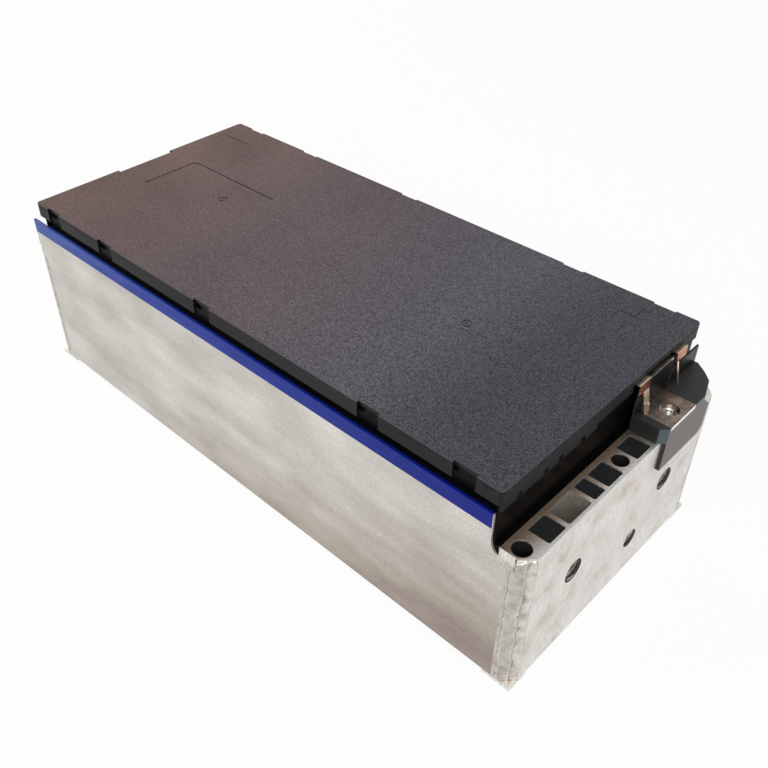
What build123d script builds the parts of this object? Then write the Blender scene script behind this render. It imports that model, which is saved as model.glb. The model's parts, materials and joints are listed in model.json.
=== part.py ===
from build123d import *
import math
import os

# Electric-vehicle battery module: twelve prismatic cells in a welded aluminium frame.
# Millimetres. X runs along the module, Y across it and Z up.
# The origin is the middle of the footprint, on the surface that the module stands on.

# ---- driving sizes -------------------------------------------------------------------------
# cells
CELL_COUNT = 12
CELLS_IN_PARALLEL = 3
CELL_THICKNESS = 26.0
CELL_WIDTH = 147.6
CELL_HEIGHT = 91.0
CELL_EDGE_RADIUS = 2.0
CELL_TERMINAL_Y = 36.0
CELL_TERMINAL_LENGTH = 22.0
CELL_TERMINAL_WIDTH = 15.0
CELL_TERMINAL_HEIGHT = 2.4
CELL_VENT_LENGTH = 22.0
CELL_VENT_WIDTH = 12.0
CELL_VENT_DEPTH = 0.5
CELL_PAD_THICKNESS = 0.56
CELL_PAD_MARGIN = 3.0

# frame
FRAME_FIT = 0.1            # assembly clearance between neighbouring pieces
BOTTOM_PLATE_THICKNESS = 2.0
THERMAL_PAD_THICKNESS = 0.8
SIDE_SHEET_THICKNESS = 0.25
SIDE_SHEET_FLANGE = 1.6
SIDE_PLATE_THICKNESS = 1.2
SIDE_PLATE_RISE = 4.2          # above the deck, which is the top of the cells
SIDE_PLATE_SHOULDER_DROP = 6.5 # under the top of the end plates
SIDE_PLATE_SHOULDER_RADIUS = 9.0
SIDE_PLATE_FAR_FOOT = 6.0        # corner at -X, its lower end above the shoulder
SIDE_PLATE_NEAR_INSET = 3.4    # upper corner at +X, back from the insulator's outer face
SIDE_PLATE_FAR_INSET = 5.18    # upper corner at -X, back from the end plate's outer face
EDGE_FILM_THICKNESS = 0.15
EDGE_FILM_HEIGHT = 7.8
EDGE_FILM_END_MARGIN = 0.4

# end plates
END_PLATE_THICKNESS = 15.0
END_PLATE_HEIGHT = 81.5
END_PLATE_CORNER_CHAMFER = 6.2
END_PLATE_EDGE_RADIUS = 0.6
FOOT_HEIGHT = 2.0
FOOT_WIDTH = 12.0
POCKET_DEPTH = 26.0
POCKET_WIDTH = 10.6
POCKET_INSET = 2.0             # wall left between a pocket and the outer face
POCKET_RADIUS = 1.0
CENTRE_POCKET_START = 5.6
CENTRE_POCKET_LENGTH = 11.5
NARROW_POCKET_LENGTH = 7.9
WIDE_POCKET_LENGTH = 16.2
OUTER_POCKET_LENGTH = 11.6
POCKET_WALL = 2.2
PLUG_HEIGHT = 10.0
PLUG_RECESS = 0.5
PLUG_FIT = 0.05
CORNER_BORE_DIAMETER = 8.2
CORNER_BORE_INSET = 8.3        # bore axis to the outer face
CORNER_BORE_Y = 68.8
CENTRE_BORE_DIAMETER = 7.5
CENTRE_BORE_INSET = 7.0
BORE_CHAMFER = 0.3
UPPER_THREAD_DIAMETER = 10.2   # tapping size for M12
UPPER_THREAD_Y = 37.7
UPPER_THREAD_Z = 48.0
UPPER_THREAD_MOUTH = 12.2
UPPER_THREAD_DEPTH = 12.0
LOWER_THREAD_DIAMETER = 8.5    # tapping size for M10
LOWER_THREAD_Y = 15.2
LOWER_THREAD_Z = 24.8
LOWER_THREAD_MOUTH = 10.2
LOWER_THREAD_DEPTH = 10.5
WELD_BULGE = 0.35
WELD_TOP_DROP = 5.5            # bead ends this far under the top of the end plate

# end insulators
INSULATOR_THICKNESS = 3.2
INSULATOR_WALL = 0.87
INSULATOR_RISE = 8.2           # above the deck

# cell carrier tray
TRAY_FLOOR_THICKNESS = 1.5
TRAY_WALL = 1.2
TRAY_WALL_INSET = 1.5
TRAY_RIB_Y = 18.5
TRAY_RIB_THICKNESS = 1.2
TRAY_WINDOW_MARGIN = 0.6

# bus bars and sensing
BUSBAR_THICKNESS = 1.5
BUSBAR_WIDTH = 22.0
BUSBAR_END_MARGIN = 1.0
BUSBAR_WELD_HOLE = 6.0
SENSE_CIRCUIT_THICKNESS = 0.3
SENSE_CIRCUIT_WIDTH = 20.0
SENSE_TAB_WIDTH = 6.0
SENSOR_LENGTH = 6.0
SENSOR_WIDTH = 3.0
SENSOR_HEIGHT = 1.6
CONNECTOR_WIDTH = 28.0
CONNECTOR_LENGTH = 13.0
CONNECTOR_HEIGHT = 6.4
CONNECTOR_WALL = 0.8
CONNECTOR_CAVITY_DEPTH = 8.0

# cover
COVER_RISE = 17.2              # top of the cover above the deck
COVER_NEAR_OVERHANG = 2.32     # past the cells at the +X end
COVER_FAR_OVERHANG = 5.92      # past the cells at the -X end
COVER_WIDTH = 149.6
COVER_THICKNESS = 1.8
COVER_SKIRT = 1.3
COVER_SKIRT_HEIGHT = 8.0
COVER_CORNER_RADIUS = 2.0
COVER_EDGE_RADIUS = 0.4
COVER_SHADOW_GROOVE = 0.6
COVER_SHADOW_DEPTH = 0.4
COVER_LONG_NOTCHES = [(-153.0, 11.5), (-104.0, 12.0), (-22.5, 11.5), (86.5, 12.0), (137.5, 11.5)]
COVER_END_NOTCH = (-20.0, 17.8, 2.6)
COVER_TAB_HEIGHT = 2.8
COVER_TABS = [(-74.0, 9.5), (-61.5, 13.8), (-44.5, 7.0), (-34.0, 12.0), (-18.5, 9.0)]
GROOVE_WIDTH = 0.9
GROOVE_DEPTH = 0.35
FINE_GROOVE_WIDTH = 0.5
FINE_GROOVE_DEPTH = 0.2
PANEL_GROOVE = [(-140.1, -18.1), (-140.1, 18.6), (-69.9, 18.6)]
CORNER_MARK = [(-159.2, 49.2), (-159.2, 56.7), (-136.2, 56.7)]
STEP_MARK = [(129.2, 50.1), (129.2, 57.3), (137.2, 57.3), (137.2, 65.2), (141.0, 65.2)]
DASH_MARK = [(137.0, 40.7), (137.0, 48.2)]
GATE_X = [-91.4, 84.2]
GATE_DIAMETER = 5.0
GATE_GROOVE = 0.6

# output terminals
TERMINAL_Y = 34.6
TERMINAL_WIDTH = 21.6
TERMINAL_THICKNESS = 2.0
TERMINAL_HOLE = 9.0
TERMINAL_HOLE_INSET = 6.9      # hole axis to the front edge
TERMINAL_RISE = 8.5            # top of the terminal above the end plate
TERMINAL_HEADROOM = 3.0        # least height of the deck above the terminals
TERMINAL_REACH = 2.0           # how far the terminal stands past the end plate
RISER_Y = 37.7                 # middle of the part of the output bar that climbs over the wall
RISER_WIDTH = 21.4
RISER_CLEARANCE = 1.15         # from the insulator's upper wall
RISER_GAP = 2.8                # from the top of the output bar to the cover's underside
SLEEVE_THICKNESS = 0.4
SLEEVE_MARGIN = 1.2
BASE_LEFT_Y = 19.5
BASE_RIGHT_Y = 73.8
BASE_WALL = 1.0
BASE_WALL_DROP = 2.5           # under the top of the insulator
BASE_FRONT_RIGHT_Y = 54.0
BASE_CORNER = 3.2
BASE_RIGHT_CUT = [(3.9, 8.8), (8.6, 4.1), (14.1, 0.0)]    # back from the front and from the right side
APRON_DROP = 16.5              # under the top of the end plate
APRON_LEFT_Y = 22.8
APRON_RIGHT_Y = 61.0
APRON_CHAMFER = 3.0
NUT_DIAMETER = 12.0
NUT_HEIGHT = 5.5
NUT_THREAD_DIAMETER = 5.0      # tapping size for M6
SCREW_X_INSET = 5.5
SCREW_Y = 56.5
SCREW_DIAMETER = 4.0
SCREW_LENGTH = 14.0
SCREW_HEAD_DIAMETER = 7.0
SCREW_HEAD_HEIGHT = 2.4
SCREW_RECESS = 1.2
SCREW_CAP_FIT = 0.06

# spring clips beside each output bar
CLIP_THICKNESS = 0.5
CLIP_WIDTH = 9.0
CLIP_LEFT_Y = 19.0
CLIP_THIN_LEG_INSET = 1.6
CLIP_RIGHT_Y = 51.0
CLIP_DROP = 5.5
CLIP_INNER_LENGTH = 5.0
CLIP_LEG_WIDTH = 4.6
CLIP_THIN_LEG_WIDTH = 1.2
CLIP_LEG_FORWARD = 2.6

# ---- places worked out from the sizes ------------------------------------------------------
PITCH = CELL_THICKNESS + CELL_PAD_THICKNESS
STACK_HALF = (CELL_COUNT * CELL_THICKNESS + (CELL_COUNT - 1) * CELL_PAD_THICKNESS) / 2
INSULATOR_IN = STACK_HALF + FRAME_FIT
INSULATOR_OUT = INSULATOR_IN + INSULATOR_THICKNESS
END_PLATE_IN = INSULATOR_OUT + FRAME_FIT
END_PLATE_OUT = END_PLATE_IN + END_PLATE_THICKNESS

CELL_HALF = CELL_WIDTH / 2
SHEET_IN = CELL_HALF + FRAME_FIT
SIDE_IN = SHEET_IN + SIDE_SHEET_THICKNESS
SIDE_OUT = SIDE_IN + SIDE_PLATE_THICKNESS
SIDE_PLATE_SHOULDER = END_PLATE_HEIGHT - SIDE_PLATE_SHOULDER_DROP
SIDE_PLATE_NEAR_END = INSULATOR_OUT - SIDE_PLATE_NEAR_INSET
SIDE_PLATE_FAR_END = END_PLATE_OUT - SIDE_PLATE_FAR_INSET
END_PLATE_HALF = SIDE_IN - FRAME_FIT / 2

CELL_BOTTOM = BOTTOM_PLATE_THICKNESS + THERMAL_PAD_THICKNESS
CELL_TOP = CELL_BOTTOM + CELL_HEIGHT
CELL_TERMINAL_TOP = CELL_TOP + CELL_TERMINAL_HEIGHT
TERMINAL_TOP = END_PLATE_HEIGHT + TERMINAL_RISE
# the side plates, insulators and cover clear the cells and the terminals, whichever is higher
DECK = max(CELL_TOP, TERMINAL_TOP + TERMINAL_HEADROOM)
SIDE_PLATE_TOP = DECK + SIDE_PLATE_RISE
INSULATOR_TOP = DECK + INSULATOR_RISE
TRAY_FLOOR = CELL_TOP + FRAME_FIT
TRAY_FLOOR_TOP = TRAY_FLOOR + TRAY_FLOOR_THICKNESS
TRAY_HALF_X = STACK_HALF - 0.2
TRAY_SHOULDER_TOP = SIDE_PLATE_TOP - SIDE_SHEET_THICKNESS

MODULE_HEIGHT = DECK + COVER_RISE
COVER_UNDERSIDE = MODULE_HEIGHT - COVER_THICKNESS
COVER_SKIRT_BOTTOM = MODULE_HEIGHT - COVER_SKIRT_HEIGHT
COVER_X0 = -STACK_HALF - COVER_FAR_OVERHANG
COVER_X1 = STACK_HALF + COVER_NEAR_OVERHANG
COVER_HALF = COVER_WIDTH / 2
NOTCH_Y0 = CLIP_LEFT_Y - 0.7
NOTCH_Y1 = CLIP_RIGHT_Y + CLIP_WIDTH + 0.7
RISER_TOP = COVER_UNDERSIDE - RISER_GAP
CLIP_BOTTOM = RISER_TOP + 0.05
NOTCH_TOP = CLIP_BOTTOM + CLIP_THICKNESS + 0.4

BASE_BACK = INSULATOR_OUT + 0.2
BASE_FRONT = END_PLATE_OUT + TERMINAL_REACH
BASE_BOTTOM = END_PLATE_HEIGHT + 0.02
BASE_TOP = TERMINAL_TOP
BASE_WALL_TOP = INSULATOR_TOP - BASE_WALL_DROP
APRON_BOTTOM = END_PLATE_HEIGHT - APRON_DROP
PLATE_BOTTOM = TERMINAL_TOP - TERMINAL_THICKNESS
TERMINAL_X = BASE_FRONT - TERMINAL_HOLE_INSET
SCREW_X = END_PLATE_OUT - SCREW_X_INSET

os.makedirs("parts", exist_ok=True)


# ---- small helpers -------------------------------------------------------------------------
def block(x0, x1, y0, y1, z0, z1):
    """A rectangular solid between two corners."""
    return Pos((x0 + x1) / 2, (y0 + y1) / 2, (z0 + z1) / 2) * Box(x1 - x0, y1 - y0, z1 - z0)


def rod(x, y, z0, z1, diameter):
    """An upright cylinder from z0 to z1."""
    return Pos(x, y, (z0 + z1) / 2) * Cylinder(diameter / 2, z1 - z0)


def cone(x, y, z0, z1, diameter0, diameter1):
    """An upright cone frustum from z0 to z1."""
    return Pos(x, y, (z0 + z1) / 2) * Cone(diameter0 / 2, diameter1 / 2, z1 - z0)


def slab(points, z0, z1):
    """A flat outline in X and Y, raised from z0 to z1."""
    face = make_face(Polyline(*points, close=True))
    return extrude(Pos(0, 0, z0) * face, z1 - z0)


def side_slab(points, y0, y1):
    """A flat outline in X and Z, carried from y0 to y1."""
    face = make_face(Polyline(*[(x, y0, z) for x, z in points], close=True))
    return extrude(face, y1 - y0, dir=(0, 1, 0))


def far_end(shape):
    """The same piece at the -X end."""
    return mirror(shape, about=Plane.YZ)


def far_side(shape):
    """The same piece at the +Y side."""
    return mirror(shape, about=Plane.XZ)


def save(name, shape):
    export_step(shape, f"parts/{name}.step")


# ---- cells ---------------------------------------------------------------------------------
def cell_x(number):
    """The middle of a cell, counted from the -X end."""
    return (number - (CELL_COUNT + 1) / 2) * PITCH


def cell(x):
    """A sealed can with two welded pads and a burst disc in its lid."""
    can = block(x - CELL_THICKNESS / 2, x + CELL_THICKNESS / 2, -CELL_HALF, CELL_HALF, CELL_BOTTOM, CELL_TOP)
    can = fillet(can.edges().filter_by(Axis.Z), CELL_EDGE_RADIUS)
    for side in (-1, 1):
        y = side * CELL_TERMINAL_Y
        can += block(
            x - CELL_TERMINAL_WIDTH / 2,
            x + CELL_TERMINAL_WIDTH / 2,
            y - CELL_TERMINAL_LENGTH / 2,
            y + CELL_TERMINAL_LENGTH / 2,
            CELL_TOP,
            CELL_TERMINAL_TOP,
        )
    vent = SlotOverall(CELL_VENT_LENGTH, CELL_VENT_WIDTH, rotation=90)
    can -= extrude(Pos(x, 0, CELL_TOP - CELL_VENT_DEPTH) * vent, CELL_VENT_DEPTH)
    return can


def cell_pad(x):
    """The compression pad between two cells."""
    half = CELL_PAD_THICKNESS / 2
    y = CELL_HALF - CELL_PAD_MARGIN
    return block(x - half, x + half, -y, y, CELL_BOTTOM + CELL_PAD_MARGIN, CELL_TOP - CELL_PAD_MARGIN)


# ---- frame ---------------------------------------------------------------------------------
def bottom_plate():
    half_x = END_PLATE_IN - FRAME_FIT
    half_y = SIDE_IN - FRAME_FIT
    return block(-half_x, half_x, -half_y, half_y, 0, BOTTOM_PLATE_THICKNESS)


def thermal_pad():
    half_y = CELL_HALF - CELL_PAD_MARGIN
    return block(-STACK_HALF, STACK_HALF, -half_y, half_y, BOTTOM_PLATE_THICKNESS, CELL_BOTTOM)


def side_plate():
    """The -Y side plate: its upper corners step back from the welded ends through a hollow curve."""
    weld_x = END_PLATE_OUT - END_PLATE_CORNER_CHAMFER
    near = SIDE_PLATE_NEAR_END
    far = -SIDE_PLATE_FAR_END
    shoulder = SIDE_PLATE_SHOULDER
    radius = min(SIDE_PLATE_SHOULDER_RADIUS, weld_x - near - 1)
    far_radius = min(radius, weld_x + far - 0.2) if weld_x + far > 0.3 else 0
    bottom = FOOT_HEIGHT + 0.05
    y = -SIDE_OUT
    corner = 1 - math.sqrt(0.5)
    outline = [
        Line((-weld_x, y, bottom), (weld_x, y, bottom)),
        Line((weld_x, y, bottom), (weld_x, y, shoulder)),
        Line((weld_x, y, shoulder), (near + radius, y, shoulder)),
        ThreePointArc(
            (near + radius, y, shoulder),
            (near + radius * corner, y, shoulder + radius * corner),
            (near, y, shoulder + radius),
        ),
        Line((near, y, shoulder + radius), (near, y, SIDE_PLATE_TOP)),
        Line((near, y, SIDE_PLATE_TOP), (-weld_x, y, SIDE_PLATE_TOP)),
        Line((-weld_x, y, SIDE_PLATE_TOP), (-weld_x, y, bottom)),
    ]
    plate = extrude(make_face(Wire(outline)), SIDE_PLATE_THICKNESS, dir=(0, 1, 0))
    if far_radius == 0:
        # the far upper corner reaches past the weld, over the chamfered corner of the end plate
        foot = shoulder + SIDE_PLATE_FAR_FOOT
        plate += block(far, -weld_x, -SIDE_OUT, -SIDE_IN, foot, SIDE_PLATE_TOP)
    return plate


def edge_film():
    """The adhesive film along the top of the -Y side plate, folded over its upper edge."""
    x0 = -SIDE_PLATE_FAR_END + EDGE_FILM_END_MARGIN
    x1 = SIDE_PLATE_NEAR_END - EDGE_FILM_END_MARGIN
    y = -SIDE_OUT - EDGE_FILM_THICKNESS
    film = block(x0, x1, y, -SIDE_OUT, SIDE_PLATE_TOP - EDGE_FILM_HEIGHT, SIDE_PLATE_TOP)
    film += block(x0, x1, y, -SIDE_IN, SIDE_PLATE_TOP, SIDE_PLATE_TOP + EDGE_FILM_THICKNESS)
    return film


def side_sheet():
    """The insulating sheet between the cells and the -Y side plate, turned in over the tray."""
    x = INSULATOR_IN
    z0 = BOTTOM_PLATE_THICKNESS + FRAME_FIT
    sheet = block(-x, x, -SIDE_IN, -SHEET_IN, z0, SIDE_PLATE_TOP)
    sheet += block(
        -x,
        x,
        -SHEET_IN,
        -SHEET_IN + SIDE_SHEET_FLANGE,
        SIDE_PLATE_TOP - SIDE_SHEET_THICKNESS,
        SIDE_PLATE_TOP,
    )
    return sheet


def corner_weld():
    """The filled bead along the +X, -Y corner."""
    weld_x = END_PLATE_OUT - END_PLATE_CORNER_CHAMFER
    start = (weld_x + 0.02, -SIDE_OUT)
    end_y = -END_PLATE_HALF + END_PLATE_CORNER_CHAMFER
    end = (END_PLATE_OUT, end_y - SIDE_PLATE_THICKNESS)
    middle = (
        (start[0] + end[0]) / 2 + WELD_BULGE * math.sqrt(0.5),
        (start[1] + end[1]) / 2 - WELD_BULGE * math.sqrt(0.5),
    )
    outline = [
        ThreePointArc(start, middle, end),
        Line(end, (END_PLATE_OUT, end_y)),
        Line((END_PLATE_OUT, end_y), (weld_x + 0.02, -END_PLATE_HALF + 0.02)),
        Line((weld_x + 0.02, -END_PLATE_HALF + 0.02), start),
    ]
    face = make_face(Wire(outline))
    height = END_PLATE_HEIGHT - WELD_TOP_DROP - FOOT_HEIGHT
    return extrude(Pos(0, 0, FOOT_HEIGHT + 0.02) * face, height)


def all_corner_welds():
    near = corner_weld()
    welds = [near, far_end(near), far_side(near), far_side(far_end(near))]
    return Compound(children=welds)


# ---- end plates ----------------------------------------------------------------------------
def pocket_rows():
    """Start and end of each weight-saving pocket along Y; the terminal covers solid metal."""
    lengths = [CENTRE_POCKET_LENGTH, NARROW_POCKET_LENGTH, WIDE_POCKET_LENGTH, OUTER_POCKET_LENGTH]
    rows = []
    start = CENTRE_POCKET_START
    for index, length in enumerate(lengths):
        rows.append((-start - length, -start))
        if index < len(lengths) - 1:
            rows.append((start, start + length))
        start += length + POCKET_WALL
    return rows


def pocket_middle():
    """X of the middle of the +X pockets."""
    return END_PLATE_OUT - POCKET_INSET - POCKET_WIDTH / 2


def pocket_plugs():
    """The plastic plugs in the +X pockets; the widest pocket and those under the terminal stay open."""
    top = END_PLATE_HEIGHT - PLUG_RECESS
    plugs = []
    for y0, y1 in pocket_rows():
        is_wide = y1 - y0 > WIDE_POCKET_LENGTH - PLUG_FIT
        under_terminal = y1 > BASE_LEFT_Y
        if not is_wide and not under_terminal:
            length = y1 - y0 - 2 * PLUG_FIT
            outline = RectangleRounded(POCKET_WIDTH - 2 * PLUG_FIT, length, POCKET_RADIUS - PLUG_FIT)
            place = Pos(pocket_middle(), (y0 + y1) / 2, top - PLUG_HEIGHT)
            plugs.append(extrude(place * outline, PLUG_HEIGHT))
    return Compound(children=plugs)


def threaded_hole(y, z, diameter, mouth, depth):
    """A blind tapping hole in the outer face, with its countersunk mouth."""
    sink = (mouth - diameter) / 2
    hole = Pos(END_PLATE_OUT - depth / 2, y, z) * Rot(0, 90, 0) * Cylinder(diameter / 2, depth)
    return hole + Pos(END_PLATE_OUT - sink / 2, y, z) * Rot(0, 90, 0) * Cone(diameter / 2, mouth / 2, sink)


def end_plate():
    """The +X end plate: pockets and bores from the top, threaded holes in the outer face."""
    half = END_PLATE_HALF
    plate = block(END_PLATE_IN, END_PLATE_OUT, -half, half, FOOT_HEIGHT, END_PLATE_HEIGHT)
    outer_corners = plate.edges().filter_by(Axis.Z).sort_by(Axis.X)[-2:]
    plate = chamfer(outer_corners, END_PLATE_CORNER_CHAMFER)
    top_front = plate.faces().sort_by(Axis.Z)[-1].edges().sort_by(Axis.X)[-1]
    plate = fillet(top_front, END_PLATE_EDGE_RADIUS)
    for side in (-1, 1):
        inner, outer = sorted((side * (SIDE_OUT - FOOT_WIDTH), side * SIDE_OUT))
        plate += block(END_PLATE_IN, END_PLATE_OUT, inner, outer, 0, FOOT_HEIGHT)
    for y0, y1 in pocket_rows():
        outline = RectangleRounded(POCKET_WIDTH, y1 - y0, POCKET_RADIUS)
        floor = END_PLATE_HEIGHT - POCKET_DEPTH
        plate -= extrude(Pos(pocket_middle(), (y0 + y1) / 2, floor) * outline, POCKET_DEPTH)
    bores = (
        (END_PLATE_OUT - CORNER_BORE_INSET, -CORNER_BORE_Y, CORNER_BORE_DIAMETER),
        (END_PLATE_OUT - CENTRE_BORE_INSET, 0, CENTRE_BORE_DIAMETER),
    )
    for x, y, diameter in bores:
        wide = diameter + 2 * BORE_CHAMFER
        plate -= rod(x, y, -1, END_PLATE_HEIGHT + 1, diameter)
        plate -= cone(x, y, END_PLATE_HEIGHT - BORE_CHAMFER, END_PLATE_HEIGHT, diameter, wide)
    upper = (UPPER_THREAD_Z, UPPER_THREAD_DIAMETER, UPPER_THREAD_MOUTH, UPPER_THREAD_DEPTH)
    lower = (LOWER_THREAD_Z, LOWER_THREAD_DIAMETER, LOWER_THREAD_MOUTH, LOWER_THREAD_DEPTH)
    plate -= threaded_hole(-UPPER_THREAD_Y, *upper)
    plate -= threaded_hole(UPPER_THREAD_Y, *upper)
    plate -= threaded_hole(LOWER_THREAD_Y, *lower)
    depth = END_PLATE_HEIGHT - (screw_seat() - SCREW_LENGTH) + 1
    plate -= rod(SCREW_X, SCREW_Y, END_PLATE_HEIGHT - depth, END_PLATE_HEIGHT + 1, SCREW_DIAMETER + 0.04)
    return plate


def end_insulator():
    """The moulded wall between the last cell and the +X end plate, thinner above the plate."""
    y = SHEET_IN
    thick_top = END_PLATE_HEIGHT
    wall = block(INSULATOR_IN, INSULATOR_OUT, -y, y, BOTTOM_PLATE_THICKNESS + FRAME_FIT, thick_top)
    wall += block(INSULATOR_IN, INSULATOR_IN + INSULATOR_WALL, -y, y, thick_top, INSULATOR_TOP)
    return wall


# ---- carrier tray --------------------------------------------------------------------------
def tray_wall_y():
    """Outer face of the tray's long walls."""
    return CELL_HALF - TRAY_WALL_INSET


def tray():
    """The moulded carrier that holds the bus bars over the cells and carries the cover."""
    floor = block(-TRAY_HALF_X, TRAY_HALF_X, -CELL_HALF, CELL_HALF, TRAY_FLOOR, TRAY_FLOOR_TOP)
    wall_y = tray_wall_y()
    wall_top = COVER_UNDERSIDE - 0.02
    body = floor + block(-TRAY_HALF_X, TRAY_HALF_X, -CELL_HALF, CELL_HALF, TRAY_FLOOR_TOP, TRAY_SHOULDER_TOP)
    body += block(-TRAY_HALF_X, TRAY_HALF_X, -wall_y, wall_y, TRAY_SHOULDER_TOP, wall_top)
    body -= block(
        -TRAY_HALF_X + TRAY_WALL,
        TRAY_HALF_X - TRAY_WALL,
        -wall_y + TRAY_WALL,
        wall_y - TRAY_WALL,
        TRAY_FLOOR_TOP,
        wall_top + 1,
    )
    for side in (-1, 1):
        y = side * TRAY_RIB_Y
        half = TRAY_RIB_THICKNESS / 2
        body += block(-TRAY_HALF_X, TRAY_HALF_X, y - half, y + half, TRAY_FLOOR_TOP, wall_top)
    for number in range(1, CELL_COUNT + 1):
        x = cell_x(number)
        half_x = CELL_TERMINAL_WIDTH / 2 + TRAY_WINDOW_MARGIN
        half_y = CELL_TERMINAL_LENGTH / 2 + TRAY_WINDOW_MARGIN
        for side in (-1, 1):
            y = side * CELL_TERMINAL_Y
            body -= block(x - half_x, x + half_x, y - half_y, y + half_y, TRAY_FLOOR - 1, TRAY_FLOOR_TOP + 1)
    riser = block(
        -TRAY_HALF_X - 1,
        TRAY_HALF_X + 1,
        NOTCH_Y0,
        NOTCH_Y1,
        RISER_TOP - TERMINAL_THICKNESS - 0.1,
        wall_top + 1,
    )
    body -= riser - block(
        -TRAY_HALF_X + TRAY_WALL,
        TRAY_HALF_X - TRAY_WALL,
        NOTCH_Y0 - 1,
        NOTCH_Y1 + 1,
        0,
        MODULE_HEIGHT,
    )
    half = CONNECTOR_WIDTH / 2 + 0.2
    body -= block(-TRAY_HALF_X - 1, -TRAY_HALF_X + TRAY_WALL, -half, half, connector_bottom(), wall_top + 1)
    body -= tab_slots()
    return body


# ---- bus bars and sensing ------------------------------------------------------------------
def bar_inner_edge():
    return CELL_TERMINAL_Y - BUSBAR_WIDTH / 2


def bus_bar(first, last, side):
    """A bar that joins the pads of the cells from first to last on one side."""
    x0 = cell_x(first) - CELL_TERMINAL_WIDTH / 2 + BUSBAR_END_MARGIN
    x1 = cell_x(last) + CELL_TERMINAL_WIDTH / 2 - BUSBAR_END_MARGIN
    y = side * CELL_TERMINAL_Y
    z1 = CELL_TERMINAL_TOP + BUSBAR_THICKNESS
    bar = block(x0, x1, y - BUSBAR_WIDTH / 2, y + BUSBAR_WIDTH / 2, CELL_TERMINAL_TOP, z1)
    for number in range(first, last + 1):
        bar -= rod(cell_x(number), y, CELL_TERMINAL_TOP - 1, z1 + 1, BUSBAR_WELD_HOLE)
    return bar


def output_bar():
    """The +X output bar: from the last cells up over the end wall and down to the terminal."""
    bar = bus_bar(CELL_COUNT - CELLS_IN_PARALLEL + 1, CELL_COUNT, 1)
    t = TERMINAL_THICKNESS
    y0 = RISER_Y - RISER_WIDTH / 2
    y1 = RISER_Y + RISER_WIDTH / 2
    inner_x = cell_x(CELL_COUNT) + CELL_TERMINAL_WIDTH / 2 - BUSBAR_END_MARGIN
    outer_x = riser_face() - t
    bar += block(inner_x - t, inner_x, y0, y1, CELL_TERMINAL_TOP, RISER_TOP)
    bar += block(inner_x - t, outer_x + t, y0, y1, RISER_TOP - t, RISER_TOP)
    bar += block(outer_x, outer_x + t, y0, y1, PLATE_BOTTOM, RISER_TOP)
    plate_y0 = TERMINAL_Y - TERMINAL_WIDTH / 2
    plate_y1 = TERMINAL_Y + TERMINAL_WIDTH / 2
    bar += block(outer_x, BASE_FRONT, plate_y0, plate_y1, PLATE_BOTTOM, TERMINAL_TOP)
    bar -= rod(TERMINAL_X, TERMINAL_Y, PLATE_BOTTOM - 1, TERMINAL_TOP + 1, TERMINAL_HOLE)
    return bar


def riser_face():
    """X of the outer face of the rising part of the output bar."""
    return INSULATOR_IN + INSULATOR_WALL + RISER_CLEARANCE + TERMINAL_THICKNESS


def bar_sleeve():
    """The insulating sleeve in front of the rising part of the output bar."""
    x0 = riser_face()
    y0 = RISER_Y - RISER_WIDTH / 2 + SLEEVE_MARGIN
    y1 = RISER_Y + RISER_WIDTH / 2 - SLEEVE_MARGIN
    return block(x0 + 0.02, x0 + 0.02 + SLEEVE_THICKNESS, y0, y1, TERMINAL_TOP + 0.2, RISER_TOP - 1.0)


def tab_places():
    """X of each sensing tab and the side it reaches to."""
    places = []
    for number in range(2, CELL_COUNT + 1, CELLS_IN_PARALLEL):
        places.append((cell_x(number), 1))
        places.append((cell_x(number), -1))
    return places


def tab_slots():
    """The gaps in the tray's ribs that the sensing tabs pass through."""
    slots = []
    half = SENSE_TAB_WIDTH / 2 + 0.3
    reach = TRAY_RIB_THICKNESS / 2 + 0.1
    top = TRAY_FLOOR_TOP + 2 * TRAY_RIB_THICKNESS
    for x, side in tab_places():
        y = side * TRAY_RIB_Y
        slots.append(block(x - half, x + half, y - reach, y + reach, TRAY_FLOOR_TOP, top))
    return slots


def sense_circuit():
    """The flexible printed circuit along the middle, with a tab towards each group's bar."""
    z0 = TRAY_FLOOR_TOP + 0.02
    z1 = z0 + SENSE_CIRCUIT_THICKNESS
    half_x = TRAY_HALF_X - TRAY_WALL - 2
    half_y = SENSE_CIRCUIT_WIDTH / 2
    strip = block(-half_x, half_x, -half_y, half_y, z0, z1)
    for x, side in tab_places():
        y0, y1 = sorted((side * half_y, side * (bar_inner_edge() - 0.4)))
        strip += block(x - SENSE_TAB_WIDTH / 2, x + SENSE_TAB_WIDTH / 2, y0, y1, z0, z1)
    return strip


def temperature_sensors():
    """Two sensor beads on the flexible circuit."""
    z0 = TRAY_FLOOR_TOP + 0.04 + SENSE_CIRCUIT_THICKNESS
    beads = []
    for number in (3, CELL_COUNT - 2):
        x = cell_x(number)
        bead = block(
            x - SENSOR_LENGTH / 2,
            x + SENSOR_LENGTH / 2,
            -SENSOR_WIDTH / 2,
            SENSOR_WIDTH / 2,
            z0,
            z0 + SENSOR_HEIGHT,
        )
        beads.append(fillet(bead.edges().filter_by(Axis.Z), SENSOR_WIDTH / 3))
    return Compound(children=beads)


def connector_bottom():
    return INSULATOR_TOP + 0.1


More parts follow.
